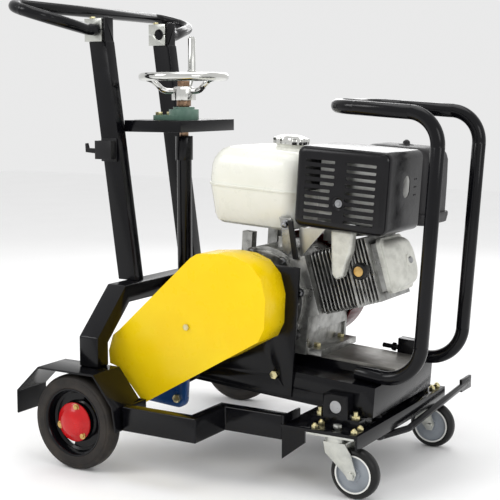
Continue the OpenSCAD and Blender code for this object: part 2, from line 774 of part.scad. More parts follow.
module muffler() color("#3a3a3c") on_deck() difference() {
  union() {
    bar(-104, 34, -100, 30, 350, 480);
    translate([-31, -20, 321]) cylinder(r = 15, h = 30);
  }
  bar(-101, 31, -97, 27, 353, 477);
  translate([33, -28, 428]) rotate([0, -90, 0]) cylinder(r = 14, h = 4);
  translate([-31, -20, 320]) cylinder(r = 12, h = 36);
}

module muffler_guard() color("#1b1b1d") on_deck() difference() {
  bar(-150, 52, -120, 45, 335, 498);
  bar(-147, 49, -117, 46, 334, 494);
  bar(-151, -60, -90, 46, 334, 400);
  // louvres in two columns
  for (x = [-127, -38], i = [0 : 8]) bar(x, x + 64, -125, -110, 352 + i * 14.3, 359 + i * 14.3);
  // tailpipe opening
  translate([40, -28, 428]) rotate([0, 90, 0]) linear_extrude(20)
    polygon([for (a = [0 : 20 : 340]) [14 * cos(a), 22 * sin(a)]]);
}

module air_cleaner() color("#3b3c3e") on_deck() difference() {
  union() {
    bar(-110, 50, 82, 214, 360, 498);
    bar(-116, 56, 76, 218, 338, 361);
    bar(-64, -44, 104, 124, 312, 339);
  }
  bar(-104, 44, 88, 208, 344, 492);
  translate([-84, 104, 330]) cylinder(r = 15, h = 20);
}

module carburettor() color("#8d8f8e") on_deck() {
  bar(-158, -122, 40, 92, 287, 338);
  translate([-141, 66, 280]) cylinder(r = 17, h = 8);
  bent_tube([[-123, 66, 312], [-100, 66, 312], [-84, 104, 312], [-84, 104, 337.6]],
            [0, 16, 16, 0], 12);
  pin_y(-140, 300, 4, 91, 96.8);
}

module choke_lever() color("#1c1c1e") on_deck() translate([-140, 92.3, 300]) difference() {
  union() {
    pin_y(0, 0, 9, 0, 4);
    bar(-5, 5, 0, 4, 5, 26);
    bar(-7, 7, 0, 9, 22, 34);
  }
  pin_y(0, 0, 4 + fit, -1, 5);
}

module engine_switch() color("#b3202a") on_deck() translate([-100, 168.4, 215]) {
  rotate([-90, 0, 0]) cylinder(r = 11, h = 6);
  bar(-3, 3, 5, 13, -10, 10);
}

// wheels

module tyre(side) color("#2b2a2a") translate([axle_x, side * wheel_y, axle_z])
  rotate([90, 0, 0]) difference() {
    rotate_extrude() polygon([
      [71, -wheel_w / 2 + 3], [78, -wheel_w / 2], [91, -wheel_w / 2],
      [wheel_d / 2 - 2, -wheel_w / 2 + 6], [wheel_d / 2, -wheel_w / 2 + 12],
      [wheel_d / 2, wheel_w / 2 - 12], [wheel_d / 2 - 2, wheel_w / 2 - 6],
      [91, wheel_w / 2], [78, wheel_w / 2], [71, wheel_w / 2 - 3]
    ]);
  }

module hub(side) color("#c4181d") translate([axle_x, side * wheel_y, axle_z])
  rotate([90 * -side, 0, 0]) {
    out = wheel_w / 2;
    difference() {
      union() {
        rotate_extrude() polygon([
          [0, -out + 4], [26, -out + 4], [26, -6], [64, -6], [64, -out + 4], [71, -out + 3],
          [71, out - 3], [64, out - 4], [64, 2], [40, 2], [38, out - 4], [30, out + 2],
          [18, out + 6], [0, out + 7]
        ]);
        for (a = [75, 195, 315]) rotate([0, 0, a]) translate([31, 0, out - 2])
          cylinder(r = 4.5, h = 6, $fn = 6);
      }
      translate([0, 0, -out - 1]) cylinder(r = 10 + fit, h = wheel_w + 5);
      for (a = [20, 110, 200, 290]) rotate([0, 0, a]) rotate_extrude(angle = 34)
        translate([46, -10]) square([12, 20]);
    }
  }

module rear_tyre_near() tyre(near);
module rear_tyre_far() tyre(far);
module rear_hub_near() hub(near);
module rear_hub_far() hub(far);

module caster_fork(side) color("#b7bab6") translate([caster_x, side * caster_y, 0]) {
  ear_y = caster_w / 2 + 3;
  crown_z = caster_top - 11;
  difference() {
    union() {
      translate([0, 0, crown_z]) cylinder(r = 24, h = 10.6);
      bar(-20, 26, -ear_y - 3, ear_y + 3, crown_z - 4, crown_z);
      for (y = [-ear_y - 3, ear_y]) slab(y, y + 3) polygon([
        [-20, crown_z], [26, crown_z], [38, 92], [caster_trail + 11, caster_d / 2 + 4],
        [caster_trail + 6, caster_d / 2 - 9], [caster_trail - 6, caster_d / 2 - 9],
        [caster_trail - 13, caster_d / 2], [-16, 88]
      ]);
    }
    translate([0, 0, crown_z - 5]) cylinder(r = 6 + fit, h = 30);
    translate([0, 0, crown_z - 5]) cylinder(r = 12, h = 7);
    pin_y(caster_trail, caster_d / 2, 4, -40, 40);
  }
  pin_y(caster_trail, caster_d / 2, 4, -ear_y - 3, ear_y + 3);
  for (y = [-ear_y - 9, ear_y + 3]) translate([0, y, 0])
    pin_y(caster_trail, caster_d / 2, 7, 0, 6);
}

module caster_wheel(side) color("#8f9498")
  translate([caster_x + caster_trail, side * caster_y, caster_d / 2]) rotate([90, 0, 0])
  difference() {
    rotate_extrude() polygon([
      [0, -caster_w / 2], [14, -caster_w / 2], [16, -9], [34, -9], [36, -caster_w / 2 + 1],
      [44, -caster_w / 2 + 1], [caster_d / 2, -8], [caster_d / 2, 8],
      [44, caster_w / 2 - 1], [36, caster_w / 2 - 1], [34, 9], [16, 9],
      [14, caster_w / 2], [0, caster_w / 2]
    ]);
    translate([0, 0, -30]) cylinder(r = 4 + fit, h = 60);
  }

module caster_fork_near() caster_fork(near);
module caster_fork_far() caster_fork(far);
module caster_wheel_near() caster_wheel(near);
module caster_wheel_far() caster_wheel(far);

wheel_arches();
axle_brackets();
rear_hoop();
handle_posts();
handle_clamps();
screw_bracket();
lift_bearing();
side_rails();
front_plate();
pivot_blocks();
chassis_bolts();
caster_plates();
throttle_box();
throttle_trigger();
guide_rod();
handlebar();
handwheel();
lift_screw();
spinner_grip();
lift_tube();
deck_frame();
pivot_shaft();
lift_pin();
slide_plate();
tension_block();
guard_back_plate();
belt_guard();
deck_bolts();
blade_bearings();
guard_hoop();
drive_belts();
engine_pulley();
crankshaft();
driven_pulley();
blade_shaft();
crankcase();
crankcase_cover();
cylinder_barrel();
cylinder_head();
valve_cover();
blower_housing();
recoil_cover();
recoil_grip();
fuel_tank();
fuel_cap();
muffler();
muffler_guard();
air_cleaner();
carburettor();
choke_lever();
oil_cap();
engine_switch();
rear_tyre_near();
rear_tyre_far();
rear_hub_near();
rear_hub_far();
caster_fork_near();
caster_fork_far();
caster_wheel_near();
caster_wheel_far();
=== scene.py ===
import json
import math

import bmesh
import bpy
from mathutils import Matrix, Vector


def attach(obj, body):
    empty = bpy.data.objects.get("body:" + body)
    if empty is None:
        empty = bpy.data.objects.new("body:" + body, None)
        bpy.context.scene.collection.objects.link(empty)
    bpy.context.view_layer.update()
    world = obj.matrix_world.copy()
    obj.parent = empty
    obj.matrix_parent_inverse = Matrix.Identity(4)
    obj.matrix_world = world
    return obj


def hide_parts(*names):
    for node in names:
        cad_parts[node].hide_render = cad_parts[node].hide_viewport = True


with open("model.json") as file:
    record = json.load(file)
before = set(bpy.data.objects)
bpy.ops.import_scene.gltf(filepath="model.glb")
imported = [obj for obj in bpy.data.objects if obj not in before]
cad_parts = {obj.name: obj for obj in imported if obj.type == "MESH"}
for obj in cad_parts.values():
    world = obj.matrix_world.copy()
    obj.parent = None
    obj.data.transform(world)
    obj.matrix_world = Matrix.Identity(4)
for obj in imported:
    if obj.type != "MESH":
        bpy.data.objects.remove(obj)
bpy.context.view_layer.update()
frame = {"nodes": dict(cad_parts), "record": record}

nodes = frame["nodes"]
bodyOf = {node: body for body, members in frame["record"]["behaviour"]["bodies"].items()
          for node in members}
slotOf = {part["node"]: part["material_slot"] for part in frame["record"]["subparts"]}
mm = 0.001
print("frame loaded:", len(nodes), "nodes")

# deck coordinates: x along the deck, z square to it, origin on the pivot shaft
deck = {"pivot": (0.2722, 0, 0.167), "raised": math.radians(3.7)}
deckMatrix = Matrix.Translation(deck["pivot"]) @ Matrix.Rotation(deck["raised"], 4, "Y")


def hexColour(code):
    channels = [int(code[i:i + 2], 16) / 255 for i in (1, 3, 5)]
    return (*[c / 12.92 if c <= 0.04045 else ((c + 0.055) / 1.055) ** 2.4 for c in channels], 1)


def addNode(tree, kind, settings=None, inputs=None):
    node = tree.nodes.new(kind)
    for key, value in (settings or {}).items():
        setattr(node, key, value)
    for key, value in (inputs or {}).items():
        if isinstance(value, bpy.types.NodeSocket):
            tree.links.new(value, node.inputs[key])
        else:
            node.inputs[key].default_value = value
    return node


# what a finish has unless it says otherwise; sizes and depths in millimetres
plainLook = {"metallic": 0.0, "gloss": 0.5, "coat": 0.0, "coatRough": 0.08, "roughSpread": 0.06,
             "blotchMm": 60, "blotchFrom": 0.42, "blotchTo": 0.72, "hazeMm": 25,
             "grain": "noise", "grainMm": 2, "grainStrength": 0.3, "grainDepth": 0.05}


def makeFinish(name, given):
    # second is the colour of the blotches, haze is the slow change in roughness
    look = {**plainLook, "second": given["colour"], **given}
    material = bpy.data.materials.new(name)
    material.use_nodes = True
    tree = material.node_tree
    shader = tree.nodes["Principled BSDF"]
    place = addNode(tree, "ShaderNodeTexCoord").outputs["Object"]
    blotch = addNode(tree, "ShaderNodeTexNoise", {}, {
        "Vector": place, "Scale": 1000 / look["blotchMm"], "Detail": 5.0,
        "Roughness": 0.6})
    ramp = addNode(tree, "ShaderNodeMapRange", {}, {
        "Value": blotch.outputs["Fac"], "From Min": look["blotchFrom"],
        "From Max": look["blotchTo"]})
    mix = addNode(tree, "ShaderNodeMix", {"data_type": "RGBA"}, {
        "Factor": ramp.outputs["Result"], 6: hexColour(look["colour"]),
        7: hexColour(look["second"])})
    tree.links.new(mix.outputs[2], shader.inputs["Base Color"])
    spread = look["roughSpread"]
    haze = addNode(tree, "ShaderNodeTexNoise", {}, {
        "Vector": place, "Scale": 1000 / look["hazeMm"], "Detail": 3.0})
    rough = addNode(tree, "ShaderNodeMapRange", {}, {
        "Value": haze.outputs["Fac"], "From Min": 0.3, "From Max": 0.7,
        "To Min": max(look["rough"] - spread, 0.02), "To Max": look["rough"] + spread})
    tree.links.new(rough.outputs["Result"], shader.inputs["Roughness"])
    if look["grain"] == "spangle":
        grain = addNode(tree, "ShaderNodeTexVoronoi", {}, {
            "Vector": place, "Scale": 1000 / look["grainMm"]}).outputs["Color"]
    else:
        grain = addNode(tree, "ShaderNodeTexNoise", {}, {
            "Vector": place, "Scale": 1000 / look["grainMm"],
            "Detail": 2.0}).outputs["Fac"]
    bump = addNode(tree, "ShaderNodeBump", {}, {
        "Height": grain, "Strength": look["grainStrength"],
        "Distance": look["grainDepth"] * mm})
    tree.links.new(bump.outputs["Normal"], shader.inputs["Normal"])
    shader.inputs["Metallic"].default_value = look["metallic"]
    shader.inputs["Specular IOR Level"].default_value = look["gloss"]
    shader.inputs["Coat Weight"].default_value = look["coat"]
    shader.inputs["Coat Roughness"].default_value = look["coatRough"]
    if "ior" in look:
        shader.inputs["IOR"].default_value = look["ior"]
    return material


finishes = {
    # stove enamel on tube and plate: deep, glossy, a trace of orange peel
    "frame_black": {"colour": "#08080b", "second": "#0d0d11", "rough": 0.17, "gloss": 0.22,
                    "roughSpread": 0.04, "grainMm": 3, "grainDepth": 0.05, "ior": 1.5},
    # sprayed enamel on pressed sheet
    "guard_yellow": {"colour": "#f4cd00", "second": "#f7d615", "rough": 0.3, "gloss": 0.3,
                     "blotchMm": 140, "grainMm": 4, "grainDepth": 0.05, "ior": 1.5},
    # hammer-finish casting paint
    "bearing_green": {"colour": "#6c8c7c", "second": "#57776a", "rough": 0.4, "grainMm": 3,
                      "grainDepth": 0.3},
    "bearing_blue": {"colour": "#0d3f78", "second": "#125096", "rough": 0.3, "coat": 0.2,
                     "grainMm": 3, "grainDepth": 0.3},
    # powder coat on pressed steel
    "housing_red": {"colour": "#52080d", "second": "#650b12", "rough": 0.3, "gloss": 0.25,
                    "grainMm": 2, "grainDepth": 0.08},
    "wheel_red": {"colour": "#b80d13", "second": "#c8161b", "rough": 0.22, "gloss": 0.35,
                  "grainMm": 4, "grainDepth": 0.08},
    # powder coat on a pressed tank
    "tank_white": {"colour": "#eeeee6", "second": "#e4e5da", "rough": 0.3, "coat": 0.3,
                   "blotchMm": 120, "grainMm": 3, "grainDepth": 0.04},
    # heat-proof paint, satin
    "muffler_black": {"colour": "#0a090c", "second": "#100f13", "rough": 0.2, "gloss": 0.28,
                      "grainMm": 1.5, "grainDepth": 0.06},
    "chrome": {"colour": "#d4d4d0", "second": "#c6c7c4", "metallic": 1.0, "rough": 0.12,
               "roughSpread": 0.04, "grainMm": 30, "grainDepth": 0.05},
    # bright zinc plate with faint spangle
    "zinc": {"colour": "#c9cac4", "second": "#b4b6b1", "metallic": 1.0, "rough": 0.34,
             "grain": "spangle", "grainMm": 5, "grainDepth": 0.04, "blotchMm": 20},
    # yellow passivated zinc
    "zinc_yellow": {"colour": "#d8cfa2", "second": "#c6b98a", "metallic": 1.0, "rough": 0.3,
                    "grainMm": 2, "grainDepth": 0.04, "blotchMm": 8},
    "steel": {"colour": "#a7a8aa", "second": "#8d8e91", "metallic": 1.0, "rough": 0.3,
              "grainMm": 1.2, "grainDepth": 0.03},
    "galvanised": {"colour": "#8d8b86", "second": "#6f6d69", "metallic": 0.8, "rough": 0.46,
                   "grain": "spangle", "grainMm": 9, "grainDepth": 0.05},
    # sand-cast alloy, bead blasted, oil in the pores
    "cast_alloy": {"colour": "#a9a9a6", "second": "#6f6f6c", "metallic": 0.9, "rough": 0.36,
                   "roughSpread": 0.12, "blotchMm": 22, "grainMm": 1.6, "grainDepth": 0.35},
    "cast_iron": {"colour": "#56565a", "second": "#434346", "metallic": 0.8, "rough": 0.5,
                  "grainMm": 1.5, "grainDepth": 0.3},
    "screw_steel": {"colour": "#9c8068", "second": "#7d6555", "metallic": 1.0, "rough": 0.35,
                    "grainMm": 2, "grainDepth": 0.05},
    "rubber": {"colour": "#0e0e0e", "second": "#151515", "rough": 0.4, "gloss": 0.3, "grainMm": 1,
               "grainDepth": 0.1},
    # worn solid rubber, dust in the pores
    "tyre": {"colour": "#211e1c", "second": "#342e28", "rough": 0.6, "gloss": 0.3, "blotchMm": 35,
             "grainMm": 1.2, "grainDepth": 0.25},
    # injection moulded, light spark-erosion texture
    "plastic_black": {"colour": "#0d0d0f", "second": "#131316", "rough": 0.38, "gloss": 0.3, "grainMm": 1,
                      "grainDepth": 0.12},
    "plastic_grey": {"colour": "#232224", "second": "#2b2a2c", "rough": 0.45, "gloss": 0.3, "grainMm": 1,
                     "grainDepth": 0.14},
    "plastic_red": {"colour": "#b3151b", "second": "#bd2026", "rough": 0.3, "grainMm": 1,
                    "grainDepth": 0.05},
    # aluminised sheet, dull silver
    "aluminised": {"colour": "#cfcfcb", "second": "#b9b9b4", "metallic": 1.0, "rough": 0.4,
                   "grainMm": 3, "grainDepth": 0.05},
    # cast aluminium with a pale, fine skin
    "pale_casting": {"colour": "#dadad2", "second": "#c3c3bb", "metallic": 0.35, "rough": 0.45,
                     "blotchMm": 18, "grainMm": 1.6, "grainDepth": 0.25},
    "nylon_white": {"colour": "#e6e6e2", "second": "#dadad5", "rough": 0.35, "grainMm": 2,
                    "grainDepth": 0.05},
    "brass": {"colour": "#c9a76a", "second": "#b08f57", "metallic": 1.0, "rough": 0.3,
              "grainMm": 2, "grainDepth": 0.04, "blotchMm": 8},
    "caster_grey": {"colour": "#8f959c", "second": "#7f858c", "rough": 0.4, "grainMm": 2,
                    "grainDepth": 0.08},
}
materials = {name: makeFinish(name, look) for name, look in finishes.items()}
for name, obj in nodes.items():
    obj.data.materials.clear()
    obj.data.materials.append(materials[slotOf[name]])
print("finishes made:", len(materials))


def fromBmesh(name, bm):
    mesh = bpy.data.meshes.new(name)
    bm.to_mesh(mesh)
    bm.free()
    obj = bpy.data.objects.new(name, mesh)
    bpy.context.scene.collection.objects.link(obj)
    return obj


def settle(obj):
    # turns live modifiers into plain mesh
    evaluated = obj.evaluated_get(bpy.context.evaluated_depsgraph_get())
    mesh = bpy.data.meshes.new_from_object(evaluated)
    obj.modifiers.clear()
    obj.data = mesh
    return obj


def softEdges(obj, angle=35):
    obj.data.shade_smooth()
    obj.data.set_sharp_from_angle(angle=math.radians(angle))
    return obj


def bevelled(obj, width, segments=2, angle=35):
    bevel = obj.modifiers.new("bevel", "BEVEL")
    bevel.width = width
    bevel.segments = segments
    bevel.limit_method = "ANGLE"
    bevel.angle_limit = math.radians(angle)
    bevel.harden_normals = True
    obj.data.shade_smooth()
    return settle(obj)


def finishPiece(obj, body, slot, replaced=None, material=None):
    obj.data.materials.clear()
    obj.data.materials.append(materials[material or slot])
    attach(obj, body)
    if replaced:
        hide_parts(*replaced)
    return obj


def roundedCopy(name, width, segments=2):
    # the CAD solid again, with its hard edges broken as a bender or a grinder leaves them
    source = nodes[name]
    bm = bmesh.new()
    bm.from_mesh(source.data)
    bmesh.ops.remove_doubles(bm, verts=bm.verts, dist=0.00002)
    bmesh.ops.dissolve_limit(bm, angle_limit=math.radians(0.8), verts=bm.verts, edges=bm.edges)
    obj = bevelled(fromBmesh(name + "_piece", bm), width, segments)
    return finishPiece(obj, bodyOf[name], slotOf[name], [name])


def turned(bm, profile, matrix, steps=64, closed=True):
    # profile: (radius, along) pairs in mm, turned about the matrix's own z axis
    rings = []
    for radius, along in profile:
        if radius < 0.001:
            rings.append([bm.verts.new(matrix @ Vector((0, 0, along * mm)))])
            continue
        rings.append([bm.verts.new(matrix @ Vector((
            radius * mm * math.cos(2 * math.pi * k / steps),
            radius * mm * math.sin(2 * math.pi * k / steps), along * mm)))
            for k in range(steps)])
    pairs = list(zip(rings, rings[1:]))
    if closed:
        pairs.append((rings[-1], rings[0]))
    for low, high in pairs:
        if len(low) == 1 and len(high) == 1:
            continue
        for k in range(steps):
            corners = []
            for vert in (low[k % len(low)], low[(k + 1) % len(low)],
                         high[(k + 1) % len(high)], high[k % len(high)]):
                if vert not in corners:
                    corners.append(vert)
            bm.faces.new(corners)
    bmesh.ops.recalc_face_normals(bm, faces=bm.faces)
    return bm


def skinned(bm, rings, capLow=True, capHigh=True):
    # faces between rings of equal count, and over the two ends
    count = len(rings[0])
    for low, high in zip(rings, rings[1:]):
        for k in range(count):
            bm.faces.new((low[k], low[(k + 1) % count], high[(k + 1) % count], high[k]))
    if capLow:
        bm.faces.new(list(reversed(rings[0])))
    if capHigh:
        bm.faces.new(rings[-1])
    return bm


def roundedRing(x1, x2, y1, y2, radius, steps=6):
    # corner points of a rounded rectangle, anticlockwise, in mm
    points = []
    for cx, cy, start in ((x2 - radius, y2 - radius, 0), (x1 + radius, y2 - radius, 90),
                          (x1 + radius, y1 + radius, 180), (x2 - radius, y1 + radius, 270)):
        for k in range(steps + 1):
            angle = math.radians(start + 90 * k / steps)
            points.append((cx + radius * math.cos(angle), cy + radius * math.sin(angle)))
    return points


def lofted(bm, box, layers, matrix, steps=6, capLow=True, capHigh=True):
    # layers: (height, inset, corner radius) of a rounded rectangle, in mm
    rings = []
    for height, inset, radius in layers:
        ring = roundedRing(box[0] + inset, box[1] - inset, box[2] + inset, box[3] - inset,
                           radius, steps)
        rings.append([bm.verts.new(matrix @ Vector((x * mm, y * mm, height * mm)))
                      for x, y in ring])
    return skinned(bm, rings, capLow, capHigh)


def shiftMm(x, y, z):
    return Matrix.Translation((x * mm, y * mm, z * mm))


def turnAbout(axis, degrees):
    return Matrix.Rotation(math.radians(degrees), 4, axis)


def cutAway(obj, cutter):
    cut = obj.modifiers.new("cut", "BOOLEAN")
    cut.operation = "DIFFERENCE"
    cut.solver = "EXACT"
    cut.object = cutter
    settle(obj)
    bpy.data.objects.remove(cutter)
    return obj


def repeatTree():
    # copies of one piece, each moved by step and turned by turn from the last
    tree = bpy.data.node_groups.new("repeated pieces", "GeometryNodeTree")
    kinds = {"Geometry": "NodeSocketGeometry", "Piece": "NodeSocketObject",
             "Finish": "NodeSocketMaterial", "Count": "NodeSocketInt",
             "Start": "NodeSocketVector", "Step": "NodeSocketVector",
             "Turn": "NodeSocketVector"}
    for label, kind in kinds.items():
        tree.interface.new_socket(label, in_out="INPUT", socket_type=kind)
    tree.interface.new_socket("Geometry", in_out="OUTPUT", socket_type="NodeSocketGeometry")
    given = addNode(tree, "NodeGroupInput").outputs
    index = addNode(tree, "GeometryNodeInputIndex").outputs["Index"]
    along = addNode(tree, "ShaderNodeVectorMath", {"operation": "SCALE"}, {
        0: given["Step"], "Scale": index}).outputs["Vector"]
    place = addNode(tree, "ShaderNodeVectorMath", {"operation": "ADD"}, {
        0: along, 1: given["Start"]}).outputs["Vector"]
    turn = addNode(tree, "ShaderNodeVectorMath", {"operation": "SCALE"}, {
        0: given["Turn"], "Scale": index}).outputs["Vector"]
    points = addNode(tree, "GeometryNodePoints", {}, {
        "Count": given["Count"], "Position": place})
    source = addNode(tree, "GeometryNodeObjectInfo", {}, {"Object": given["Piece"]})
    spin = addNode(tree, "FunctionNodeEulerToRotation", {}, {"Euler": turn})
    copies = addNode(tree, "GeometryNodeInstanceOnPoints", {}, {
        "Points": points.outputs[0], "Instance": source.outputs["Geometry"],
        "Rotation": spin.outputs["Rotation"]})
    solid = addNode(tree, "GeometryNodeRealizeInstances", {}, {
        "Geometry": copies.outputs["Instances"]})
    coated = addNode(tree, "GeometryNodeSetMaterial", {}, {
        "Geometry": solid.outputs["Geometry"], "Material": given["Finish"]})
    addNode(tree, "NodeGroupOutput", {}, {"Geometry": coated.outputs["Geometry"]})
    return tree


repeatedPieces = repeatTree()


def repeated(name, item, count, step, turn, matrix, body, slot, material=None, start=(0, 0, 0)):
    host = bpy.data.objects.new(name, bpy.data.meshes.new(name))
    bpy.context.scene.collection.objects.link(host)
    modifier = host.modifiers.new("repeat", "NODES")
    modifier.node_group = repeatedPieces
    values = {"Piece": item, "Finish": materials[material or slot], "Count": count,
              "Start": [v * mm for v in start], "Step": [v * mm for v in step],
              "Turn": [math.radians(v) for v in turn]}
    for socket in repeatedPieces.interface.items_tree:
        if socket.in_out == "INPUT" and socket.name in values:
            modifier[socket.identifier] = values[socket.name]
    settle(host)
    host.data.transform(matrix)
    bpy.data.objects.remove(item)
    softEdges(host)
    return finishPiece(host, body, slot, None, material)


def hexBolt(name, across, height, domed=False):
    # bolt head, its chamfered top up the z axis
    bm = bmesh.new()
    radius = across / 1.732
    rings = []
    for scale, along in ((1, 0), (1, height * 0.78), (0.86, height)):
        rings.append([bm.verts.new((radius * scale * math.cos(k * math.pi / 3) * mm,
                                    radius * scale * math.sin(k * math.pi / 3) * mm, along * mm))
                      for k in range(6)])
    skinned(bm, rings)
    if domed:
        turned(bm, [(0, height * 0.9), (radius * 0.8, height * 0.9), (radius * 0.74, height * 1.3),
                    (radius * 0.4, height * 1.7), (0, height * 1.85)], Matrix.Identity(4), 16, False)
    turned(bm, [(radius * 1.5, -0.2), (radius * 1.5, 1.2), (0, 1.2), (0, -0.2)],
           Matrix.Identity(4), 24)
    return softEdges(fromBmesh(name, bm))


roundedNodes = {
    "wheel_arches": 1.0, "axle_brackets": 1.0, "rear_hoop": 3.0, "handle_posts": 3.0,
    "screw_bracket": 2.5, "side_rails": 2.5, "front_plate": 1.2, "pivot_blocks": 1.5,
    "deck_frame": 1.2, "slide_plate": 1.0, "guard_back_plate": 0.8, "belt_guard": 0.9,
    "handle_clamps": 1.0, "throttle_box": 1.2, "throttle_trigger": 0.8, "lift_bearing": 1.2,
    "blade_bearings": 1.2, "crankcase": 2.0, "cylinder_head": 0.6,
    "blower_housing": 1.0, "tension_block": 1.0, "recoil_cover": 0.8, "guard_hoop": 0.2,
    "handlebar": 0.2, "guide_rod": 0.6, "handwheel": 0.4, "lift_tube": 0.4, "caster_plates": 0.6,
    "caster_fork_near": 0.7, "caster_fork_far": 0.7, "lift_screw": 0.5, "spinner_grip": 0.8,
    "crankcase_cover": 1.5, "carburettor": 0.8, "oil_cap": 1.0, "choke_lever": 0.5,
    "recoil_grip": 2.0, "engine_switch": 0.6, "chassis_bolts": 0.5, "deck_bolts": 0.5,
}
for name, width in roundedNodes.items():
    roundedCopy(name, width * mm)
print("rounded copies:", len(roundedNodes))


# pressed tank: tapered lower half, rounded upper half, rolled seam between them
tank = {"box": (-383, -163, -88, 150), "low": 312, "seam": 396, "top": 478,
        "neck": (-241, 24, 31)}  # neck: place along and across the deck, radius


def makeTank():
    bm = bmesh.new()
    low, seam, top = tank["low"], tank["seam"], tank["top"]
    lofted(bm, tank["box"], [
        (low, 34, 10), (low + 1.5, 26, 14), (low + 7, 17, 22), (low + 20, 11, 28),
        (seam - 30, 5, 32), (seam - 8, 1, 34), (seam, 0.4, 34), (seam + 14, 0, 34),
        (top - 44, 1, 34), (top - 30, 3.5, 34), (top - 18, 9, 33), (top - 9, 17, 30),
        (top - 3.5, 27, 26), (top - 1, 40, 22), (top, 60, 18)], deckMatrix, 8)
    lofted(bm, tank["box"], [
        (seam - 2.2, 1.5, 34), (seam - 2.2, -2.2, 36), (seam - 0.6, -2.6, 36),
        (seam - 0.3, -1.9, 36), (seam + 0.3, -1.9, 36), (seam + 0.6, -2.6, 36),
        (seam + 2.2, -2.2, 36), (seam + 2.2, 1.5, 34)], deckMatrix, 8, False, False)
    x, y, radius = tank["neck"]
    turned(bm, [(radius + 9, top - 3), (radius + 5, top + 0.5), (radius, top + 3),
                (radius, top + 8), (radius - 2, top + 8.2), (radius - 2, top - 3)],
           deckMatrix @ shiftMm(x, y, 0), 48)
    finishPiece(softEdges(fromBmesh("tank_shell", bm), 30), "deck", "tank_white", ["fuel_tank"])


# chrome on pressed steel, its wall scalloped for the fingers; layers are (height, radius)
cap = {"lift": 8.4, "scallops": 12, "wallDepth": 1.8, "topDepth": 0.3, "wallFrom": 32, "steps": 96,
       "layers": [(0, 33), (0.6, 36.5), (10, 37.5), (13, 36), (14.5, 31), (17, 26), (19.2, 15),
                  (20, 0.5)]}


def makeCap():
    x, y, radius = tank["neck"]
    matrix = deckMatrix @ shiftMm(x, y, tank["top"] + cap["lift"])
    bm = bmesh.new()
    rings = []
    for along, base in cap["layers"]:
        depth = cap["wallDepth"] if base > cap["wallFrom"] else cap["topDepth"]
        ring = []
        for k in range(cap["steps"]):
            angle = 2 * math.pi * k / cap["steps"]
            reach = (base + depth * math.cos(cap["scallops"] * angle)) * mm
            ring.append(bm.verts.new(matrix @ Vector((
                reach * math.cos(angle), reach * math.sin(angle), along * mm))))
        rings.append(ring)
    skinned(bm, rings)
    finishPiece(softEdges(fromBmesh("cap_shell", bm), 40), "fuel_cap", "chrome", ["fuel_cap"])


makeTank()
makeCap()
print("tank and cap")


# pressed heat shield: one sheet drawn into a tray, louvres pierced and raised
shield = {"box": (-150, 52, 335, 498), "front": -120, "back": 45, "wall": 1.6,
          "columns": (-127, -38), "slotLong": 64, "slotTall": 7.2, "slotFirst": 352,
          "slotStep": 14.3, "slots": 9, "shortRows": (2, 3, 4), "shortBy": 8,
          "boss": (-52, 390, 13), "outlet": (-44, -12, 406, 450), "ventsAt": (8, 16),
          "ventLow": 408, "ventStep": 16, "notch": (-152, -60, 334, 401)}
frontMatrix = deckMatrix @ turnAbout("X", 90)  # x stays, y runs up, z runs towards the near side


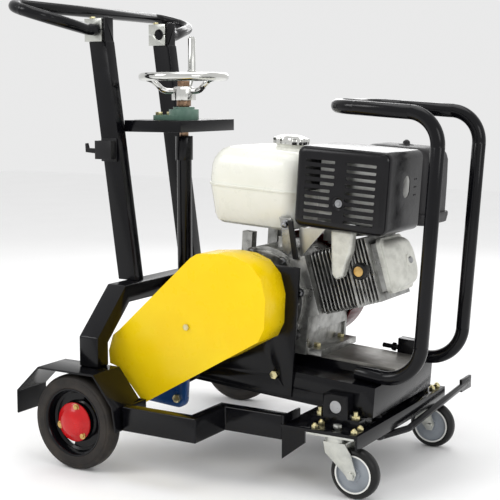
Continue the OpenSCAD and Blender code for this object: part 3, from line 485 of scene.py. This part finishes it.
def makeShield():
    front = -shield["front"]
    bm = bmesh.new()
    lofted(bm, shield["box"], [
        (-shield["back"], 0, 15), (front - 16, 0, 16), (front - 9, 0.8, 16), (front - 4, 3.2, 15),
        (front - 1, 7.5, 13), (front, 13, 10)], frontMatrix, 8, False, True)
    obj = fromBmesh("shield_sheet", bm)
    wall = obj.modifiers.new("wall", "SOLIDIFY")
    wall.thickness = shield["wall"] * mm
    wall.offset = -1
    settle(obj)
    cut = bmesh.new()
    for left in shield["columns"]:
        for k in range(shield["slots"]):
            low = shield["slotFirst"] + k * shield["slotStep"]
            right = left + shield["slotLong"]
            # the middle rows by the boss are shorter
            if left == shield["columns"][0] and k in shield["shortRows"]:
                right -= shield["shortBy"]
            lofted(cut, (left, right, low, low + shield["slotTall"]),
                   [(front - 20, 0, 3), (front + 5, 0, 3)], frontMatrix, 4)
    # tailpipe outlet and small vents in the front wall
    sideMatrix = deckMatrix @ turnAbout("Z", 90) @ turnAbout("X", 90)
    lofted(cut, shield["outlet"], [(40, 0, 15.5), (60, 0, 15.5)], sideMatrix, 8)
    for y in shield["ventsAt"]:
        for k in range(3):
            low = shield["ventLow"] + k * shield["ventStep"]
            lofted(cut, (y, y + 5, low, low + 3), [(40, 0, 1), (60, 0, 1)], sideMatrix, 3)
    cutAway(obj, fromBmesh("shield_cut", cut))
    x, z, radius = shield["boss"]
    hole = bmesh.new()
    turned(hole, [(0, front - 12), (radius + 2, front - 12), (radius + 2, front + 4), (0, front + 4)],
           frontMatrix @ shiftMm(x, z, 0), 40, False)
    cutAway(obj, fromBmesh("boss_cut", hole))
    notch = bmesh.new()
    lofted(notch, shield["notch"], [(-46, 0, 1), (90, 0, 1)], frontMatrix, 2)
    cutAway(obj, fromBmesh("notch_cut", notch))
    finishPiece(softEdges(obj, 32), "deck", "muffler_black", ["muffler_guard"])

    # raised lip over each louvre
    lip = bmesh.new()
    lofted(lip, (0, shield["slotLong"] - 2, 0, 1.6), [(-2.5, 0, 0.6), (-0.4, 0, 0.6)],
           Matrix.Identity(4), 2)
    for number, left in enumerate(shield["columns"]):
        item = softEdges(fromBmesh("lip", lip.copy()))
        repeated("louvre_lips_%d" % number, item, shield["slots"], (0, shield["slotStep"], 0),
                 (0, 0, 0), frontMatrix, "deck", "muffler_black", None,
                 (left + 1, shield["slotFirst"] + shield["slotTall"] - 1.2, front))
    lip.free()

    # dished boss with its screw
    boss = bmesh.new()
    turned(boss, [(radius + 2.4, -1.6), (radius + 1.6, -0.2), (radius, 0), (radius - 1.6, -0.6),
                  (radius - 3, -3), (radius - 6, -4.6), (0, -4.8), (0, -6.5),
                  (radius - 5, -6.2), (radius - 1, -4.2), (radius + 2.4, -3)],
           frontMatrix @ shiftMm(x, z, front), 40)
    finishPiece(softEdges(fromBmesh("shield_boss", boss), 50), "deck", "muffler_black")
    screw = hexBolt("screw", 9, 4)
    screw.data.transform(frontMatrix @ shiftMm(x, z, front - 4.8))
    finishPiece(screw, "deck", "steel")


makeShield()
# the muffler itself shows through the louvres
silencer = roundedCopy("muffler", 9 * mm, 3)
silencer.data.materials[0] = materials["aluminised"]
print("heat shield")


# moulded air cleaner: base tray, deep cover with wide corner radii, knob on top
airBox = {"cover": (-110, 50, 82, 214), "tray": (-116, 56, 76, 218), "low": 338, "joint": 361,
          "top": 498}


def makeAirCleaner():
    bm = bmesh.new()
    top, joint = airBox["top"], airBox["joint"]
    lofted(bm, airBox["cover"], [
        (joint - 1, 0, 20), (joint + 4, 0, 20), (joint + 60, 0, 22), (top - 26, 1, 24),
        (top - 14, 4, 24), (top - 6, 9, 22), (top - 1.5, 17, 18), (top, 28, 12)], deckMatrix, 8)
    lofted(bm, airBox["tray"], [
        (airBox["low"], 5, 18), (airBox["low"] + 2, 2, 21), (joint - 8, 0, 22),
        (joint - 3, -0.2, 22), (joint, 1, 21), (joint, 8, 18)], deckMatrix, 8)
    turned(bm, [(0, 0), (16, 0), (16, 2), (8, 4), (7, 9), (3, 12), (0, 12.5)],
           deckMatrix @ shiftMm(-30, 148, top - 1), 24, False)
    finishPiece(softEdges(fromBmesh("air_box", bm), 35), "deck", "plastic_grey", ["air_cleaner"])


makeAirCleaner()
print("air cleaner")


# cylinder: dark barrel between thin cast fins; cover drawn deep with a wide flange
barrel = {"tilt": 20, "core": (-52, 52, -50, 58), "from": 116, "to": 198,
          "finBox": (-66, 66, -68, 76), "first": 121, "step": 8.6, "fins": 10, "finThick": 2.6}
crankSpot = (-224, 0, 173)
cylinderMatrix = deckMatrix @ shiftMm(*crankSpot) @ turnAbout("Y", -barrel["tilt"])
alongCylinder = cylinderMatrix @ turnAbout("Y", 90)  # z runs out along the bore


def makeCylinder():
    core = bmesh.new()
    lofted(core, barrel["core"], [(barrel["from"], 0, 30), (barrel["to"], 0, 30)], alongCylinder, 6)
    finishPiece(softEdges(fromBmesh("barrel_core", core)), "deck", "cast_alloy",
                ["cylinder_barrel"], "cast_iron")
    fin = bmesh.new()
    thick = barrel["finThick"]
    lofted(fin, barrel["finBox"], [(0, 0.8, 10), (0.6, 0, 11), (thick - 0.6, 0, 11), (thick, 0.8, 10)],
           Matrix.Identity(4), 4)
    repeated("barrel_fins", softEdges(fromBmesh("fin", fin)), barrel["fins"],
             (0, 0, barrel["step"]), (0, 0, 0), alongCylinder, "deck", "cast_alloy", None,
             (0, 0, barrel["first"]))


# its layers start at the flange on the head; the boss and bolt sit on its centre
valveCover = {"box": (-60, 54, -52, 62), "boss": (-3, 5), "top": 298}


def makeValveCover():
    bm = bmesh.new()
    lofted(bm, valveCover["box"], [
        (262.3, 0, 14), (270, 0, 14), (271.5, 1.5, 13), (272, 5, 12), (274, 7, 16),
        (284, 9, 20), (292, 13, 24), (296.5, 19, 26), (valveCover["top"], 27, 22)],
           alongCylinder, 8)
    x, y = valveCover["boss"]
    turned(bm, [(13, 0), (12.5, 2.4), (10, 3.2), (0, 3.2)],
           alongCylinder @ shiftMm(x, y, valveCover["top"] - 0.5), 32, False)
    finishPiece(softEdges(fromBmesh("valve_cover_shell", bm), 28), "deck", "cast_alloy",
                ["valve_cover"], "pale_casting")
    bolt = hexBolt("cover_bolt", 12, 6)
    bolt.data.transform(alongCylinder @ shiftMm(x, y, valveCover["top"] + 1))
    finishPiece(bolt, "deck", "steel")


makeCylinder()
makeValveCover()


def prism(name, outline, depth, width=1.2):
    # flat outline in deck x and z, between two distances from the centre line on the near side
    bm = bmesh.new()
    rings = [[bm.verts.new(frontMatrix @ Vector((x * mm, z * mm, d * mm))) for x, z in outline]
             for d in depth]
    skinned(bm, rings)
    bmesh.ops.recalc_face_normals(bm, faces=bm.faces)
    return bevelled(fromBmesh(name, bm), width * mm, 3)


engineTrim = {
    # outline in deck x and z, distances from the centre line, finish
    "exhaust_casting": ([(-78, 334), (-28, 334), (-30, 292), (-40, 262), (-44, 240), (-60, 232),
                         (-70, 244), (-74, 290)], (69, 92), 6.0, "pale_casting"),
    "tank_bracket": ([(-200, 344), (-170, 344), (-164, 322), (-160, 284), (-172, 268),
                      (-188, 276), (-192, 322)], (80, 87), 2.0, "cast_alloy"),
    "shroud_plate": ([(-158, 326), (-96, 331), (-128, 292), (-150, 262)], (72, 75), 1.0,
                     "aluminised"),
    "control_bar": ([(-176, 340), (-164, 340), (-146, 262), (-158, 262)], (88, 94), 1.5,
                    "plastic_black"),
}


# the plug points to the near side: place on the cylinder; the crankcase cover's bolts and ribs
plugAt = (237.5, 0, 6)
coverFace = {"bolts": 8, "boltCircle": 97, "boltsAt": -104.6, "ribs": 12, "ribsAt": -100}


def makeEngineTrim():
    for name, (outline, depth, width, finish) in engineTrim.items():
        finishPiece(prism(name, outline, depth, width), "deck", "cast_alloy", None, finish)
    # plug boot: black collar round a pale end
    boot = cylinderMatrix @ shiftMm(*plugAt) @ turnAbout("X", 90)
    bm = bmesh.new()
    turned(bm, [(0, 78), (10, 78), (15, 86), (17.5, 95), (17, 104), (15, 107.5), (12.5, 107.5),
                (12, 106.2), (0, 106.2)], boot, 40, False)
    finishPiece(softEdges(fromBmesh("plug_boot", bm)), "deck", "rubber")
    bm = bmesh.new()
    turned(bm, [(0, 106), (10.5, 106), (10, 107.4), (7, 108.2), (0, 108.6)], boot, 32, False)
    finishPiece(softEdges(fromBmesh("plug_end", bm)), "deck", "screw_steel", None, "brass")
    nut = hexBolt("bracket_nut", 13, 6, True)
    nut.data.transform(frontMatrix @ shiftMm(-183, 330, 87))
    finishPiece(nut, "deck", "steel")
    bolt = hexBolt("case_bolt", 11, 6)
    bolt.data.transform(shiftMm(coverFace["boltCircle"], 0, 0))
    facing = deckMatrix @ shiftMm(*crankSpot)
    repeated("case_bolts", bolt, coverFace["bolts"], (0, 0, 0), (0, 0, 360 / coverFace["bolts"]),
             facing @ shiftMm(0, coverFace["boltsAt"], 0) @ turnAbout("X", 90) @ turnAbout("Z", 15),
             "deck", "steel")
    rib = bmesh.new()
    lofted(rib, (34, 92, -2.2, 2.2), [(0, 0, 1.8), (5.5, 1, 1.2)], Matrix.Identity(4), 3)
    repeated("case_ribs", softEdges(fromBmesh("rib", rib)), coverFace["ribs"], (0, 0, 0),
             (0, 0, 360 / coverFace["ribs"]),
             facing @ shiftMm(0, coverFace["ribsAt"], 0) @ turnAbout("X", 90), "deck", "cast_alloy")


makeEngineTrim()
print("engine")


# solid tyre on a pressed web with a red dome
wheel = {"axle": (-249.8, 322, 100), "radius": 100, "width": 42, "slotStarts": (25, 205),
         "slotSpan": 50, "slotRadii": (46, 57), "domeBolts": 3, "boltCircle": 34}


def makeWheel(side, sign):
    x, y, z = wheel["axle"]
    outward = shiftMm(x, sign * y, z) @ turnAbout("X", -90 * sign)
    half = wheel["width"] / 2
    body = "rear_wheel_" + side
    # half of the tyre's section: (below the tread, in from the side)
    section = [(29, 4), (26, 1), (20, 0), (12, 0.6), (10, 2.2), (6, 2.8), (2.5, 6), (0.6, 11), (0, 16)]
    inner = [(wheel["radius"] - down, -half + across) for down, across in section]
    outer = [(wheel["radius"] - down, half - across) for down, across in reversed(section)]
    bm = turned(bmesh.new(), inner + outer, outward, 128)
    finishPiece(softEdges(fromBmesh("tyre_" + side, bm), 28), body, "tyre", ["rear_tyre_" + side])
    bm = bmesh.new()
    turned(bm, [(71, -half + 3), (71, half - 3), (68, half - 3.6), (65.5, half - 7), (63, -2),
                (58, -5), (44, -5), (40, -2), (38, 9), (34, 12), (16, 12), (16, -half + 4),
                (26, -half + 4), (28, -8), (62, -8), (66, -half + 4)], outward, 96)
    web = fromBmesh("web_" + side, bm)
    # two curved slots through the web
    low, high = wheel["slotRadii"]
    cut = bmesh.new()
    for start in wheel["slotStarts"]:
        arc = [math.radians(start + wheel["slotSpan"] * k / 10) for k in range(11)]
        outline = [(high * math.cos(a), high * math.sin(a)) for a in arc]
        outline += [(low * math.cos(a), low * math.sin(a)) for a in reversed(arc)]
        skinned(cut, [[cut.verts.new(outward @ Vector((px * mm, py * mm, along * mm)))
                       for px, py in outline] for along in (-15, 5)])
    bmesh.ops.recalc_face_normals(cut, faces=cut.faces)
    cutAway(web, fromBmesh("web_cut", cut))
    finishPiece(softEdges(web, 30), body, "wheel_red", ["rear_hub_" + side], "frame_black")
    bm = bmesh.new()
    turned(bm, [(0, 10), (41, 10), (41, 12.5), (39, 14.5), (34, 16.5), (30, 20), (24, 24), (14, 26.6),
                (0, 27.4)], outward, 64, False)
    finishPiece(softEdges(fromBmesh("dome_" + side, bm), 40), body, "wheel_red")
    bolt = hexBolt("dome_bolt", 9, 4)
    bolt.data.transform(shiftMm(wheel["boltCircle"], 0, 15.5))
    repeated("dome_bolts_" + side, bolt, wheel["domeBolts"], (0, 0, 0), (0, 0, 360 / wheel["domeBolts"]),
             outward @ turnAbout("Z", 75), body, "wheel_red", "brass")


sides = {"near": -1, "far": 1}
for side, sign in sides.items():
    makeWheel(side, sign)
print("rear wheels")


# caster: rubber tread, thin white ring, grey centre
caster = {"axle": (328.2, 197, 50), "radius": 50, "width": 30}


def makeCaster(side, sign):
    x, y, z = caster["axle"]
    outward = shiftMm(x, sign * y, z) @ turnAbout("X", -90 * sign)
    half = caster["width"] / 2
    body = "caster_wheel_" + side
    # half of the tread's section: (below the tread, in from the side)
    section = [(12, 2), (8, 1), (4, 3), (1, 7.5), (0, half - 4)]
    inner = [(caster["radius"] - down, -half + across) for down, across in section]
    outer = [(caster["radius"] - down, half - across) for down, across in reversed(section)]
    bm = turned(bmesh.new(), inner + outer, outward, 96)
    finishPiece(softEdges(fromBmesh("tread_" + side, bm), 35), body, "caster_grey",
                ["caster_wheel_" + side], "rubber")
    bm = bmesh.new()
    turned(bm, [(35, -half + 1), (38, -half + 1), (38, half - 1), (35, half - 1)], outward, 96)
    finishPiece(softEdges(fromBmesh("ring_" + side, bm)), body, "caster_grey", None, "nylon_white")
    bm = bmesh.new()
    turned(bm, [(4.2, -half), (14, -half), (15, -10), (33, -9), (35, -half + 2), (35, half - 2),
                (33, 9), (15, 10), (14, half), (4.2, half)], outward, 64)
    finishPiece(softEdges(fromBmesh("disc_" + side, bm)), body, "caster_grey")


for side, sign in sides.items():
    makeCaster(side, sign)
print("casters")


camera = {"place": (1.25688, -2.1567, 0.76898), "azimuth": 30.73, "pitch": 7.55, "lens": 83.62}
cameraData = bpy.data.cameras.new("camera")
cameraData.lens = camera["lens"]
cameraData.sensor_width = 36
cameraData.clip_end = 50
cameraObject = bpy.data.objects.new("camera", cameraData)
cameraObject.location = camera["place"]
cameraObject.rotation_euler = (math.radians(90 - camera["pitch"]), 0, math.radians(camera["azimuth"]))
bpy.context.scene.collection.objects.link(cameraObject)
bpy.context.scene.camera = cameraObject

studio = {
    "floorSize": 14.0, "world": 0.82,
    # name: place, aim, size, watts
    "lamps": {
        "keyLamp": ((-1.9, -2.4, 2.6), (0, 0, 0.4), 1.4, 34),
        "fillLamp": ((2.8, -1.4, 1.6), (0, 0, 0.4), 1.2, 14),
        "topLamp": ((0.2, 0.2, 3.2), (0, 0, 0.3), 2.0, 26),
        "rimLamp": ((-1.2, 2.6, 1.8), (0, 0, 0.5), 1.4, 16),
    },
}


def buildStudio():
    bm = bmesh.new()
    bmesh.ops.create_grid(bm, x_segments=1, y_segments=1, size=studio["floorSize"] / 2)
    floor = fromBmesh("floor", bm)
    paper = bpy.data.materials.new("studio paper")
    paper.use_nodes = True
    tree = paper.node_tree
    grain = addNode(tree, "ShaderNodeTexNoise", {}, {
        "Vector": addNode(tree, "ShaderNodeTexCoord").outputs["Object"], "Scale": 3.0})
    tone = addNode(tree, "ShaderNodeMix", {"data_type": "RGBA"}, {
        "Factor": grain.outputs["Fac"], 6: hexColour("#f8f8f8"), 7: hexColour("#fcfcfc")})
    tree.links.new(tone.outputs[2], tree.nodes["Principled BSDF"].inputs["Base Color"])
    tree.nodes["Principled BSDF"].inputs["Roughness"].default_value = 0.9
    floor.data.materials.append(paper)
    world = bpy.data.worlds.new("studio")
    world.use_nodes = True
    world.node_tree.nodes["Background"].inputs["Color"].default_value = (1, 1, 1, 1)
    world.node_tree.nodes["Background"].inputs["Strength"].default_value = studio["world"]
    bpy.context.scene.world = world
    for name, (place, aim, size, watts) in studio["lamps"].items():
        data = bpy.data.lights.new(name, "AREA")
        data.energy = watts
        data.size = size
        lamp = bpy.data.objects.new(name, data)
        lamp.location = place
        lamp.rotation_euler = (Vector(aim) - Vector(place)).to_track_quat("-Z", "Y").to_euler()
        bpy.context.scene.collection.objects.link(lamp)
    bpy.context.scene.view_settings.view_transform = "Standard"


buildStudio()
print("studio built")
